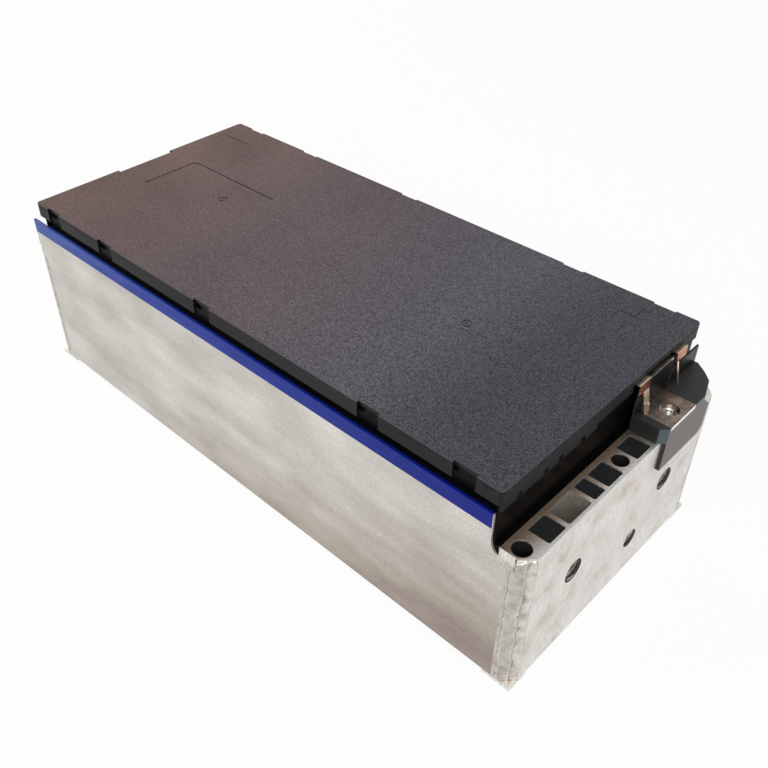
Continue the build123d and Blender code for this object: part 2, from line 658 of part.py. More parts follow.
def sense_connector():
    """The signal connector in the notch of the cover, with its mouth towards -X."""
    x0 = COVER_X0 + COVER_END_NOTCH[2] + 0.2
    x1 = x0 + CONNECTOR_LENGTH
    half = CONNECTOR_WIDTH / 2
    z0 = connector_bottom()
    z1 = z0 + CONNECTOR_HEIGHT
    body = block(x0, x1, -half, half, z0, z1)
    body -= block(
        x0 - 1,
        x0 + CONNECTOR_CAVITY_DEPTH,
        -half + CONNECTOR_WALL,
        half - CONNECTOR_WALL,
        z0 + CONNECTOR_WALL,
        z1 - CONNECTOR_WALL,
    )
    post_x0 = x1 - 2
    body += block(post_x0, x1, -half / 2, half / 2, TRAY_FLOOR_TOP + 0.04 + SENSE_CIRCUIT_THICKNESS, z0)
    return body


# ---- cover ---------------------------------------------------------------------------------
def cover_outline(inset, z0, z1):
    """The cover's plan shape, drawn in by inset, from z0 to z1."""
    radius = max(COVER_CORNER_RADIUS - inset, 0.3)
    outline = RectangleRounded(COVER_X1 - COVER_X0 - 2 * inset, COVER_WIDTH - 2 * inset, radius)
    return extrude(Pos((COVER_X0 + COVER_X1) / 2, 0, z0) * outline, z1 - z0)


def engraved(points, width, depth, corner_radius):
    """A groove of square section along a path in the top face."""
    z = MODULE_HEIGHT - depth
    path = Polyline(*points)
    if corner_radius:
        path = FilletPolyline(*points, radius=corner_radius)
    line = trace(Pos(0, 0, z) * path, width)
    return extrude(line, depth + 1, dir=(0, 0, 1))


def top_cover():
    """The moulded lid: a flat top with a turned-down skirt, notched for its snap hooks."""
    lid = cover_outline(0, COVER_SKIRT_BOTTOM, MODULE_HEIGHT)
    top_face = lid.faces().sort_by(Axis.Z)[-1]
    lid = fillet(top_face.edges(), COVER_EDGE_RADIUS)
    lid -= cover_outline(COVER_SKIRT, COVER_SKIRT_BOTTOM - 1, COVER_UNDERSIDE)
    groove_top = COVER_UNDERSIDE + 0.3
    ring = cover_outline(-1, groove_top - COVER_SHADOW_GROOVE, groove_top)
    ring -= cover_outline(COVER_SHADOW_DEPTH, groove_top - 2, groove_top + 2)
    lid -= ring
    low = COVER_SKIRT_BOTTOM - COVER_TAB_HEIGHT
    for y, length in COVER_TABS:
        lid += block(COVER_X1 - COVER_SKIRT + 0.1, COVER_X1, y, y + length, low, COVER_SKIRT_BOTTOM + 1)
    for x, length in COVER_LONG_NOTCHES:
        for side in (-1, 1):
            y0, y1 = sorted((side * (COVER_HALF - COVER_SKIRT), side * (COVER_HALF + 1)))
            lid -= block(x, x + length, y0, y1, low, MODULE_HEIGHT + 1)
    y0, y1, depth = COVER_END_NOTCH
    lid -= block(COVER_X0 - 1, COVER_X0 + depth, y0, y1, low, MODULE_HEIGHT + 1)
    for x0, x1 in ((COVER_X0 - 1, COVER_X0 + 6.0), (COVER_X1 - 6.0, COVER_X1 + 1)):
        lid -= block(x0, x1, NOTCH_Y0, NOTCH_Y1, low, NOTCH_TOP)
    for x in GATE_X:
        ring = rod(x, 0, MODULE_HEIGHT - GROOVE_DEPTH, MODULE_HEIGHT + 1, GATE_DIAMETER)
        ring -= rod(x, 0, MODULE_HEIGHT - 1, MODULE_HEIGHT + 2, GATE_DIAMETER - 2 * GATE_GROOVE)
        lid -= ring
        lid -= rod(x, 0, MODULE_HEIGHT - GROOVE_DEPTH, MODULE_HEIGHT + 1, GATE_GROOVE * 2)
    lid -= engraved(PANEL_GROOVE, GROOVE_WIDTH, GROOVE_DEPTH, 3.0)
    for points in (CORNER_MARK, STEP_MARK, DASH_MARK):
        lid -= engraved(points, FINE_GROOVE_WIDTH, FINE_GROOVE_DEPTH, 0)
    return lid


# ---- output terminals ----------------------------------------------------------------------
def screw_seat():
    """Height of the face that the head of the base screw bears on."""
    return BASE_TOP - SCREW_RECESS - SCREW_HEAD_HEIGHT


def terminal_base():
    """The moulded block under the +X terminal, with its back wall and the apron in front."""
    corner = BASE_CORNER
    outline = [
        (BASE_BACK, BASE_LEFT_Y),
        (BASE_FRONT - corner, BASE_LEFT_Y),
        (BASE_FRONT, BASE_LEFT_Y + corner),
        (BASE_FRONT, BASE_FRONT_RIGHT_Y),
        *[(BASE_FRONT - back, BASE_RIGHT_Y - aside) for back, aside in BASE_RIGHT_CUT],
        (BASE_BACK, BASE_RIGHT_Y),
    ]
    body = slab(outline, BASE_BOTTOM, BASE_TOP)
    body += block(BASE_BACK, BASE_BACK + BASE_WALL, BASE_LEFT_Y, BASE_RIGHT_Y, BASE_TOP, BASE_WALL_TOP)
    apron = [
        (APRON_LEFT_Y, APRON_BOTTOM),
        (APRON_RIGHT_Y - APRON_CHAMFER, APRON_BOTTOM),
        (APRON_RIGHT_Y, APRON_BOTTOM + APRON_CHAMFER),
        (APRON_RIGHT_Y, BASE_BOTTOM),
        (BASE_FRONT_RIGHT_Y, BASE_TOP - 2.0),
        (APRON_LEFT_Y, BASE_TOP - 2.0),
    ]
    front = END_PLATE_OUT + 0.02
    face = make_face(Polyline(*[(front, y, z) for y, z in apron], close=True))
    body += extrude(face, BASE_FRONT - front, dir=(1, 0, 0))
    riser_y0 = RISER_Y - RISER_WIDTH / 2 - 0.1
    riser_y1 = RISER_Y + RISER_WIDTH / 2 + 0.1
    outer_x = riser_face() + SLEEVE_THICKNESS + FRAME_FIT
    body -= block(BASE_BACK - 1, outer_x, riser_y0, riser_y1, PLATE_BOTTOM - 0.02, BASE_WALL_TOP + 1)
    plate_y0 = TERMINAL_Y - TERMINAL_WIDTH / 2 - 0.1
    plate_y1 = TERMINAL_Y + TERMINAL_WIDTH / 2 + 0.1
    body -= block(BASE_BACK - 1, BASE_FRONT + 1, plate_y0, plate_y1, PLATE_BOTTOM - 0.02, BASE_TOP + 1)
    nut_bottom = PLATE_BOTTOM - 0.04 - NUT_HEIGHT
    body -= rod(TERMINAL_X, TERMINAL_Y, nut_bottom - 0.02, BASE_TOP + 1, NUT_DIAMETER + 0.1)
    body -= rod(SCREW_X, SCREW_Y, BASE_BOTTOM - 1, BASE_TOP + 1, SCREW_DIAMETER + 0.3)
    body -= rod(SCREW_X, SCREW_Y, screw_seat(), BASE_TOP + 1, SCREW_HEAD_DIAMETER + 0.4)
    return body


def terminal_nut():
    """The captive round nut under the +X terminal's hole."""
    z1 = PLATE_BOTTOM - 0.02
    nut = rod(TERMINAL_X, TERMINAL_Y, z1 - NUT_HEIGHT, z1, NUT_DIAMETER)
    nut -= rod(TERMINAL_X, TERMINAL_Y, z1 - NUT_HEIGHT - 1, z1 + 1, NUT_THREAD_DIAMETER)
    mouth = NUT_THREAD_DIAMETER + 1.2
    nut -= cone(TERMINAL_X, TERMINAL_Y, z1 - 0.6, z1, NUT_THREAD_DIAMETER, mouth)
    return nut


def base_screw():
    """The screw that holds the +X terminal base down, with a socket in its head."""
    seat = screw_seat() + 0.02
    screw = rod(SCREW_X, SCREW_Y, seat - SCREW_LENGTH, seat, SCREW_DIAMETER)
    screw += rod(SCREW_X, SCREW_Y, seat, seat + SCREW_HEAD_HEIGHT, SCREW_HEAD_DIAMETER)
    socket = RegularPolygon(SCREW_DIAMETER * 0.4, 6, major_radius=False)
    top = seat + SCREW_HEAD_HEIGHT
    screw -= extrude(Pos(SCREW_X, SCREW_Y, top - SCREW_HEAD_HEIGHT / 2) * socket, SCREW_HEAD_HEIGHT)
    return screw


def screw_cap():
    """The moulded cap pressed in over the head of the +X base screw, flush with the base."""
    diameter = SCREW_HEAD_DIAMETER + 0.4 - 2 * SCREW_CAP_FIT
    return rod(SCREW_X, SCREW_Y, screw_seat() + SCREW_HEAD_HEIGHT + SCREW_CAP_FIT, BASE_TOP, diameter)


def spring_clip(y0, leg_y0, leg_width):
    """A bronze clip on the edge of the output bar, with a leg that springs down to the base."""
    t = CLIP_THICKNESS
    back = INSULATOR_IN + 0.3
    front = riser_face() + 0.05 + t
    z1 = CLIP_BOTTOM + t
    knee = z1 - CLIP_DROP
    toe_x = front + CLIP_LEG_FORWARD
    toe_z = BASE_TOP + 0.05
    inner = front - t
    head = [(back, CLIP_BOTTOM), (back, z1), (front, z1), (front, knee), (inner, knee), (inner, CLIP_BOTTOM)]
    leg = [(front - t, knee), (front, knee), (toe_x, toe_z), (toe_x - t, toe_z)]
    clip = side_slab(head, y0, y0 + CLIP_WIDTH)
    clip += side_slab(leg, leg_y0, leg_y0 + leg_width)
    return clip


def spring_clips():
    left_leg = CLIP_LEFT_Y + CLIP_WIDTH - CLIP_LEG_WIDTH
    right_leg = CLIP_RIGHT_Y + CLIP_THIN_LEG_INSET
    left = spring_clip(CLIP_LEFT_Y, left_leg, CLIP_LEG_WIDTH)
    right = spring_clip(CLIP_RIGHT_Y, right_leg, CLIP_THIN_LEG_WIDTH)
    return Compound(children=[left, right])


# ---- write every piece ---------------------------------------------------------------------
save("bottom_plate", bottom_plate())
save("thermal_pad", thermal_pad())
front_side = side_plate()
save("side_plate_front", front_side)
save("side_plate_rear", far_side(front_side))
save("edge_film_front", edge_film())
save("edge_film_rear", far_side(edge_film()))
save("side_sheet_front", side_sheet())
save("side_sheet_rear", far_side(side_sheet()))
plate_a = end_plate()
save("end_plate_a", plate_a)
save("end_plate_b", far_end(plate_a))
save("pocket_plugs_a", pocket_plugs())
save("pocket_plugs_b", far_end(pocket_plugs()))
save("corner_welds", all_corner_welds())
save("end_insulator_a", end_insulator())
save("end_insulator_b", far_end(end_insulator()))

for number in range(1, CELL_COUNT + 1):
    save(f"cell_{number:02d}", cell(cell_x(number)))
for number in range(1, CELL_COUNT):
    save(f"cell_pad_{number:02d}", cell_pad(cell_x(number) + PITCH / 2))

save("carrier_tray", tray())
half_string = CELL_COUNT // 2
group = CELLS_IN_PARALLEL
save("bus_bar_1", bus_bar(half_string + 1, CELL_COUNT, -1))
save("bus_bar_2", bus_bar(group + 1, CELL_COUNT - group, 1))
save("bus_bar_3", bus_bar(1, half_string, -1))
bar_a = output_bar()
save("output_bar_a", bar_a)
save("output_bar_b", far_end(bar_a))
save("bar_sleeve_a", bar_sleeve())
save("bar_sleeve_b", far_end(bar_sleeve()))
save("sense_circuit", sense_circuit())
save("sense_connector", sense_connector())
save("temperature_sensors", temperature_sensors())

save("top_cover", top_cover())

base_a = terminal_base()
save("terminal_base_a", base_a)
save("terminal_base_b", far_end(base_a))
save("terminal_nut_a", terminal_nut())
save("terminal_nut_b", far_end(terminal_nut()))
save("base_screws", Compound(children=[base_screw(), far_end(base_screw())]))
save("screw_caps", Compound(children=[screw_cap(), far_end(screw_cap())]))
save("spring_clips_a", spring_clips())
save("spring_clips_b", far_end(spring_clips()))
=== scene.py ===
import json
import math

import bpy
import numpy as np
from mathutils import Matrix, Vector


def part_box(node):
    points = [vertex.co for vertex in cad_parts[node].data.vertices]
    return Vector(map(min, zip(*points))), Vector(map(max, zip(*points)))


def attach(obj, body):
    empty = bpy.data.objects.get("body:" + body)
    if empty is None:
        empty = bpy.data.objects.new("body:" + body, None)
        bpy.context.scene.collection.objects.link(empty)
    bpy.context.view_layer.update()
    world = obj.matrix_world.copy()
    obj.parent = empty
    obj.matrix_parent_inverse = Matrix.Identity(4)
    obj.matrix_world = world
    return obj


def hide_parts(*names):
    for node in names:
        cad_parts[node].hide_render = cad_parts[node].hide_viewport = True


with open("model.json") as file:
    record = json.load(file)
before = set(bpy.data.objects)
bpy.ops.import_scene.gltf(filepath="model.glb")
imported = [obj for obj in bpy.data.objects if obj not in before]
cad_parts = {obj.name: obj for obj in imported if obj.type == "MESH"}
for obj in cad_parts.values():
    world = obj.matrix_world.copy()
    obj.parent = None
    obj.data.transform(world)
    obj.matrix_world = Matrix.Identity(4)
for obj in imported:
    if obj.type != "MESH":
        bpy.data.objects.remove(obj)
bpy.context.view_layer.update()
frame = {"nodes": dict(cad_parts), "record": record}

MM = 0.001
TURN = 2 * math.pi

# ---- places read from the frame ------------------------------------------------------------
END_HIGH = Vector(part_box("end_plate_a")[1])
NUT_HIGH = Vector(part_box("terminal_nut_a")[1])
WELD_LOW = Vector(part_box("corner_welds")[0])
MOUNTS = {mount["name"]: mount for mount in frame["record"]["mounts"]}

# ---- sizes of what is added, in millimetres ------------------------------------------------
BEAD_LAP = 4.2          # how far the bead spreads over the side plate
BEAD_PROUD = 0.13       # how far it stands off the side plate
CHAMFER = 6.2           # of the end plate's corner
SHOULDER = 75.0         # height of the side plate at the bead
TOES = (0.2, 0.70, 0.93)    # raised toe lines, as shares of the way across the bead
TOE_HEIGHT = 0.46
RIPPLE_PITCH = 1.6
RIPPLE_HEIGHT = 0.13
BEAD_DEPTH = 0.8        # of the bead's hidden back under its face
THREAD_START = 0.6      # of the thread ridges, inside the end face
THREAD_LENGTH = 8.5
THREAD_DEPTH = 0.65     # of a ridge, as a share of its pitch
NUT_PITCH = 1.0
NUT_THREAD_LENGTH = 4.2
NUT_THREAD_DEPTH = 0.5
HOLE_RIM = 1.02         # countersink of a threaded hole, past its wall
BORE_RIM = 0.32         # chamfer of a bore, past its wall
SKIN = 0.02             # how far inside a face the darkening of a hole starts


def hole_places():
    """The threaded holes of the +X end face: name, Y, Z, wall radius and thread pitch, in millimetres."""
    pair = MOUNTS["upper_threads_a"]
    half = pair["dims"]["spacing_x_mm"] / 2
    single = MOUNTS["lower_thread_a"]
    z = pair["pos_m"][2] / MM
    return [
        ("upper_front", -half, z, pair["dims"]["hole_r_mm"], 1.75),
        ("upper_rear", half, z, pair["dims"]["hole_r_mm"], 1.75),
        ("lower", single["pos_m"][1] / MM, single["pos_m"][2] / MM, single["dims"]["r_mm"], 1.5),
    ]


def linear(code):
    """An sRGB hex colour such as 'C8C4BE' as linear RGBA."""
    parts = [int(code[i : i + 2], 16) / 255 for i in (0, 2, 4)]
    return tuple(c / 12.92 if c <= 0.04045 else ((c + 0.055) / 1.055) ** 2.4 for c in parts) + (1.0,)


# ---- node graphs ---------------------------------------------------------------------------
MATH, RANGE, RAMP, MIX = "ShaderNodeMath", "ShaderNodeMapRange", "ShaderNodeValToRGB", "ShaderNodeMix"
NOISE, MAPPING, BUMP = "ShaderNodeTexNoise", "ShaderNodeMapping", "ShaderNodeBump"
SPLIT, GEOMETRY = "ShaderNodeSeparateXYZ", "ShaderNodeNewGeometry"
LAY = {"data_type": "RGBA"}
MULTIPLY = {"data_type": "RGBA", "blend_type": "MULTIPLY"}


def add(tree, kind, inputs=None, out=0, stops=None, **settings):
    """Adds one node: settings, input values or links, ramp stops. Gives one output, or all for None."""
    made = tree.nodes.new(kind)
    for name, value in settings.items():
        setattr(made, name, value)
    for key, value in (inputs or {}).items():
        if isinstance(value, bpy.types.NodeSocket):
            tree.links.new(value, made.inputs[key])
        else:
            made.inputs[key].default_value = value
    if stops:
        elements = made.color_ramp.elements
        while len(elements) < len(stops):
            elements.new(0.5)
        for element, (place, code) in zip(elements, stops):
            element.position = place
            element.color = linear(code)
    return made.outputs if out is None else made.outputs[out]


def per_mm(size):
    """Texture scale on metre coordinates that gives features of this size in millimetres."""
    return 1.0 / (size * MM)


def grained(place, size, detail, roughness=0.5):
    """Inputs for noise with features of a size in millimetres."""
    return {"Vector": place, "Scale": per_mm(size), "Detail": detail, "Roughness": roughness}


def drawn(place, stretch, turn=0.0):
    """Inputs that draw a pattern out along the axes with a small scale, turned about Y by degrees."""
    return {"Vector": place, "Rotation": (0.0, math.radians(turn), 0.0), "Scale": stretch}


def ranged(value, low, high, to_low=0.0, to_high=1.0):
    """Inputs that map a value's range to another."""
    return {"Value": value, "From Min": low, "From Max": high, "To Min": to_low, "To Max": to_high}


def mixed(factor, first, second):
    """Inputs for two colours mixed by a factor."""
    return {0: factor, 6: first, 7: second}


def raised(height, strength, depth):
    """Inputs for a relief of a depth in millimetres."""
    return {"Height": height, "Strength": strength, "Distance": depth * MM}


def start_material(name):
    """A new node material, with its tree, its principled shader and the object coordinates."""
    material = bpy.data.materials.new(name)
    material.use_nodes = True
    tree = material.node_tree
    shader = tree.nodes["Principled BSDF"]
    return material, tree, shader, add(tree, "ShaderNodeTexCoord", out="Object")


def link(tree, source, shader, socket):
    """Joins an output to one of the shader's inputs."""
    tree.links.new(source, shader.inputs[socket])


# ---- finishes ------------------------------------------------------------------------------
def mill_aluminium():
    """Rolled aluminium sheet: dull, with wiped smears and flecks; painted shade makes it browner and darker
    at the foot near +X, lighter towards the top and the -X end.
    """
    material, tree, shader, place = start_material("mill_aluminium")
    slanting = add(tree, MAPPING, drawn(place, (0.25, 1.0, 1.0), 38))
    smear = add(tree, NOISE, grained(slanting, 15, 5.0))
    cloud = add(tree, NOISE, grained(place, 40, 3.0))
    fleck = add(tree, NOISE, grained(place, 0.8, 2.0))
    level = add(tree, MATH, {0: cloud, 1: 0.4}, operation="MULTIPLY")
    level = add(tree, MATH, {0: smear, 1: 0.6, 2: level}, operation="MULTIPLY_ADD")
    tone = add(tree, RAMP, {0: level}, stops=[(0.34, "C4C0BA"), (0.5, "D4D1CC"), (0.66, "E2E0DC")])
    x, _, z = add(tree, SPLIT, {0: place}, None)
    # painted shade: a multiplier, darker and browner towards the foot and towards +X, made uneven by the
    # smears
    painted_shade = add(tree, RANGE, ranged(z, 0.0, 0.098))
    painted_shade = add(tree, MATH, {0: smear, 1: 0.4, 2: painted_shade}, operation="MULTIPLY_ADD")
    aside = add(tree, RANGE, ranged(x, 0.15, -0.15, -0.2, 0.6))
    painted_shade = add(tree, MATH, {0: aside, 1: painted_shade}, operation="ADD")
    stops = [(0.1, "C5B8B5"), (0.3, "DED6CF"), (0.55, "EEEAE6"), (0.85, "FFFFFF")]
    tone = add(tree, MIX, mixed(1.0, tone, add(tree, RAMP, {0: painted_shade}, stops=stops)), 2, **MULTIPLY)
    flecks = add(tree, RAMP, {0: fleck}, stops=[(0.38, "DCDAD6"), (0.6, "FFFFFF")])
    link(tree, add(tree, MIX, mixed(0.5, tone, flecks), 2, **MULTIPLY), shader, "Base Color")
    link(tree, add(tree, RANGE, ranged(smear, 0.3, 0.7, 0.5, 0.64)), shader, "Roughness")
    link(tree, add(tree, BUMP, raised(fleck, 0.16, 0.04)), shader, "Normal")
    shader.inputs["Metallic"].default_value = 1.0
    return material


def inside_round(tree, u, v, middle, radius):
    """1 inside a circle in the plane of two coordinates."""
    point = add(tree, "ShaderNodeCombineXYZ", {0: u, 1: v})
    ends = {0: point, 1: (middle[0] * MM, middle[1] * MM, 0.0)}
    away = add(tree, "ShaderNodeVectorMath", ends, "Value", operation="DISTANCE")
    return add(tree, MATH, {0: away, 1: radius * MM}, operation="LESS_THAN")


def painted_hole_shade(tree, place):
    """1 on the walls of the bores and threaded holes, from their mouths in, at both ends: where painted shade
    goes.
    """
    x, y, z = add(tree, SPLIT, {0: place}, None)
    x = add(tree, MATH, {0: x}, operation="ABSOLUTE")
    bores, threads = 0.0, 0.0
    for name in ("corner_bore_a", "centre_bore_a"):
        bore = MOUNTS[name]
        middle = (bore["pos_m"][0] / MM, bore["pos_m"][1] / MM)
        mask = inside_round(tree, x, y, middle, bore["dims"]["r_mm"] + BORE_RIM)
        bores = add(tree, MATH, {0: bores, 1: mask}, operation="MAXIMUM")
    for _, hole_y, hole_z, radius, _ in hole_places():
        mask = inside_round(tree, y, z, (hole_y, hole_z), radius + HOLE_RIM)
        threads = add(tree, MATH, {0: threads, 1: mask}, operation="MAXIMUM")
    under = add(tree, MATH, {0: z, 1: END_HIGH.z - SKIN * MM}, operation="LESS_THAN")
    behind = add(tree, MATH, {0: x, 1: END_HIGH.x - SKIN * MM}, operation="LESS_THAN")
    bores = add(tree, MATH, {0: bores, 1: under}, operation="MULTIPLY")
    threads = add(tree, MATH, {0: threads, 1: behind}, operation="MULTIPLY")
    return add(tree, MATH, {0: bores, 1: threads}, operation="MAXIMUM")


def cast_aluminium():
    """Die-cast, brushed aluminium: fine upright brush lines, faint tan stains, pinholes, painted highlights
    on the rounded edges and the top's outer edge, and painted shade in the holes.
    """
    material, tree, shader, place = start_material("cast_aluminium")
    brush = add(tree, NOISE, grained(add(tree, MAPPING, drawn(place, (1.0, 1.0, 0.12))), 0.6, 4.0))
    fine = add(tree, NOISE, grained(place, 0.45, 2.0))
    stain = add(tree, NOISE, grained(place, 20, 6.0, 0.6))
    pin = add(tree, "ShaderNodeTexVoronoi", {"Vector": place, "Scale": per_mm(5.0)})
    up = add(tree, SPLIT, {0: add(tree, GEOMETRY, out="Normal")}, "Z")
    tone = add(tree, RAMP, {0: stain}, stops=[(0.34, "D6CDC3"), (0.44, "E3DFDA"), (0.6, "ECEAE7")])
    # the top face goes from tan at the insulator to a painted highlight at the outer edge, unevenly
    outward = add(tree, MATH, {0: add(tree, SPLIT, {0: place}, "X")}, operation="ABSOLUTE")
    uneven = add(tree, MATH, {0: stain, 1: 0.5}, operation="SUBTRACT")
    across = add(tree, MATH, {0: uneven, 1: 6 * MM, 2: outward}, operation="MULTIPLY_ADD")
    across = add(tree, RANGE, ranged(across, END_HIGH.x - 13 * MM, END_HIGH.x - 1 * MM))
    top = add(tree, RAMP, {0: across}, stops=[(0.0, "A8937F"), (0.55, "CDBEAF"), (1.0, "F4F2EF")])
    tone = add(tree, MIX, mixed(add(tree, RANGE, ranged(up, 0.9, 0.98)), tone, top), 2, **LAY)
    # painted highlight: faces between upright and flat, the rounded and chamfered edges, are made near white
    stops = [(0.25, "000000"), (0.5, "FFFFFF"), (0.8, "FFFFFF"), (0.93, "000000")]
    tone = add(tree, MIX, mixed(add(tree, RAMP, {0: up}, stops=stops), tone, linear("F6F5F3")), 2, **LAY)
    lines = add(tree, RAMP, {0: brush}, stops=[(0.36, "D8D4CF"), (0.62, "FFFFFF")])
    colour = add(tree, MIX, mixed(0.6, tone, lines), 2, **MULTIPLY)
    pinholes = add(tree, RAMP, {0: pin}, stops=[(0.03, "7A736B"), (0.07, "FFFFFF")])
    colour = add(tree, MIX, mixed(0.5, colour, pinholes), 2, **MULTIPLY)
    # painted shade: the walls of the bores and threaded holes are made dark and not metallic
    hole = painted_hole_shade(tree, place)
    link(tree, add(tree, MIX, mixed(hole, colour, linear("1B1D1D")), 2, **LAY), shader, "Base Color")
    link(tree, add(tree, MATH, {0: 1.0, 1: hole}, operation="SUBTRACT"), shader, "Metallic")
    link(tree, add(tree, RANGE, ranged(brush, 0.3, 0.7, 0.46, 0.6)), shader, "Roughness")
    height = add(tree, MATH, {0: brush, 1: fine}, operation="ADD")
    link(tree, add(tree, BUMP, raised(height, 0.22, 0.05)), shader, "Normal")
    return material


def weld_metal():
    """Weld bead as laid: pale aluminium, tan tint in patches, a few sooty specks, and painted highlights with
    thin painted shadows along the toe lines.
    """
    material, tree, shader, place = start_material("weld_metal")
    tint = add(tree, NOISE, grained(place, 5.0, 5.0, 0.6))
    soot = add(tree, NOISE, grained(place, 1.6, 4.0, 0.6))
    tone = add(tree, RAMP, {0: tint}, stops=[(0.32, "BDB2A6"), (0.44, "CFC9C1"), (0.6, "DDD9D4")])
    specks = add(tree, RAMP, {0: soot}, stops=[(0.28, "6A6259"), (0.34, "FFFFFF")])
    colour = add(tree, MIX, mixed(0.6, tone, specks), 2, **MULTIPLY)
    wobble = add(tree, MATH, {0: tint, 1: 0.5}, operation="SUBTRACT")
    wobble = add(tree, MATH, {0: wobble, 1: 4 * MM}, operation="MULTIPLY")
    outward = add(tree, MATH, {0: add(tree, SPLIT, {0: place}, "X")}, operation="ABSOLUTE")
    outward = add(tree, MATH, {0: outward, 1: wobble}, operation="ADD")
    across = add(tree, RANGE, ranged(outward, END_HIGH.x - (CHAMFER + BEAD_LAP) * MM, END_HIGH.x))
    # painted highlights and thin painted shadows: white bands, each with a dark flank, along the toe lines
    stops = [(0.19, "DDDDDD"), (0.22, "8C8278"), (0.26, "FFFFFF"), (0.31, "DDDDDD"), (0.66, "DDDDDD"),
             (0.71, "FFFFFF"), (0.75, "8C8278"), (0.78, "E6E6E6"), (0.95, "FFFFFF")]
    lines = add(tree, RAMP, {0: across}, stops=stops)
    link(tree, add(tree, MIX, mixed(0.8, colour, lines), 2, **MULTIPLY), shader, "Base Color")
    scale = add(tree, NOISE, grained(place, 0.5, 3.0))
    link(tree, add(tree, BUMP, raised(scale, 0.2, 0.05)), shader, "Normal")
    shader.inputs["Metallic"].default_value = 1.0
    shader.inputs["Roughness"].default_value = 0.42
    return material


def grained_cover():
    """Black ABS and polycarbonate blend: spark-eroded grain on top with painted glints and a painted warm
    reflection along X, smooth sides painted near black, a painted highlight along the rounded edge.
    """
    material, tree, shader, place = start_material("grained_cover")
    grain = add(tree, NOISE, grained(place, 0.7, 3.0, 0.6))
    spark = add(tree, NOISE, grained(place, 0.6, 1.0))
    broad = add(tree, NOISE, grained(place, 60, 3.0))
    # painted reflection and light: both grain tones shift along X, browner at the -X end where a warm
    # reflection falls, lighter between and darker at the +X end
    along = add(tree, RANGE, ranged(add(tree, SPLIT, {0: place}, "X"), -0.16, 0.12))
    stops = [(0.0, "2E2526"), (0.5, "322D33"), (0.85, "2A2C32"), (1.0, "202126")]
    dark = add(tree, RAMP, {0: along}, stops=stops)
    stops = [(0.0, "594B4C"), (0.5, "645D68"), (0.85, "686B76"), (1.0, "52545E")]
    light = add(tree, RAMP, {0: along}, stops=stops)
    rough = add(tree, RAMP, {0: grain}, stops=[(0.36, "000000"), (0.68, "FFFFFF")])
    top = add(tree, MIX, mixed(rough, dark, light), 2, **LAY)
    # painted glints: light grey specks on the grain
    painted_glints = add(tree, RANGE, ranged(spark, 0.60, 0.74, 0.0, 0.4))
    top = add(tree, MIX, mixed(painted_glints, top, linear("9A9BA2")), 2, **LAY)
    # painted light and shade on one plastic: the side faces are made near black, the top keeps the lighter
    # grain tones
    up = add(tree, SPLIT, {0: add(tree, GEOMETRY, out="Normal")}, "Z")
    flat = add(tree, RANGE, ranged(up, 0.85, 0.97))
    colour = add(tree, MIX, mixed(flat, linear("0C0C0E"), top), 2, **LAY)
    # painted highlight: faces between upright and flat, the rounded edge, are made light grey
    stops = [(0.2, "000000"), (0.4, "FFFFFF"), (0.8, "FFFFFF"), (0.95, "000000")]
    edge = add(tree, RAMP, {0: up}, stops=stops)
    link(tree, add(tree, MIX, mixed(edge, colour, linear("505056")), 2, **LAY), shader, "Base Color")
    link(tree, add(tree, RANGE, ranged(broad, 0.3, 0.7, 0.46, 0.56)), shader, "Roughness")
    link(tree, add(tree, BUMP, raised(grain, 0.5, 0.1)), shader, "Normal")
    shader.inputs["IOR"].default_value = 1.55
    shader.inputs["Specular IOR Level"].default_value = 0.16
    return material


def moulded_plastic(name, dark, light, roughness, grain_mm, strength, specular=0.5):
    """Moulded plastic, foam or rubber: two close tones of one colour, light texture and a soft gloss."""
    material, tree, shader, place = start_material(name)
    grain = add(tree, NOISE, grained(place, grain_mm, 3.0))
    link(tree, add(tree, RAMP, {0: grain}, stops=[(0.35, dark), (0.65, light)]), shader, "Base Color")
    link(tree, add(tree, BUMP, raised(grain, strength, 0.05)), shader, "Normal")
    shader.inputs["Roughness"].default_value = roughness
    shader.inputs["Specular IOR Level"].default_value = specular
    return material


